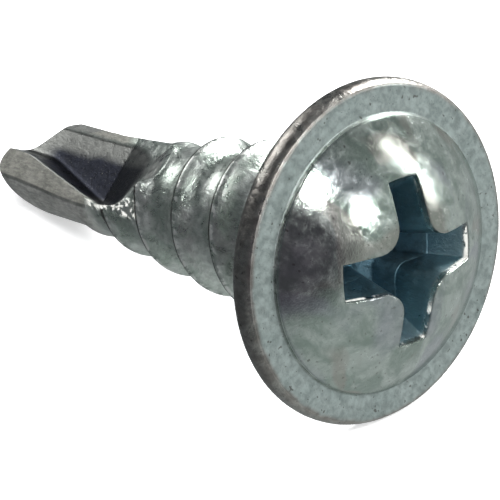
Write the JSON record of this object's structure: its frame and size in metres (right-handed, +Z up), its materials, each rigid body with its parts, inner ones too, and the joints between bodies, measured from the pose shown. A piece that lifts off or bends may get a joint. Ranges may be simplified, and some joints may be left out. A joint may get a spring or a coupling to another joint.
{
  "type": "self drilling screw",
  "caption": "Pan washer head self drilling screw with a cross recess, a tapered thread and a fluted drill point, lying at rest.",
  "frame": {"origin": "centre of the screw's bounding box in X and Y, at the surface it lies on", "axes": "+X from the head towards the drill point as seen from above, with the screw's own axis sloping down by about 15 degrees; +Z up"},
  "size_m": [0.0152, 0.0082, 0.0079],
  "materials": {
    "zinc": "zinc plated, satin, slightly bluish grey"
  },
  "bodies": {
    "root": {"screw": "zinc"}
  },
  "joints": []
}
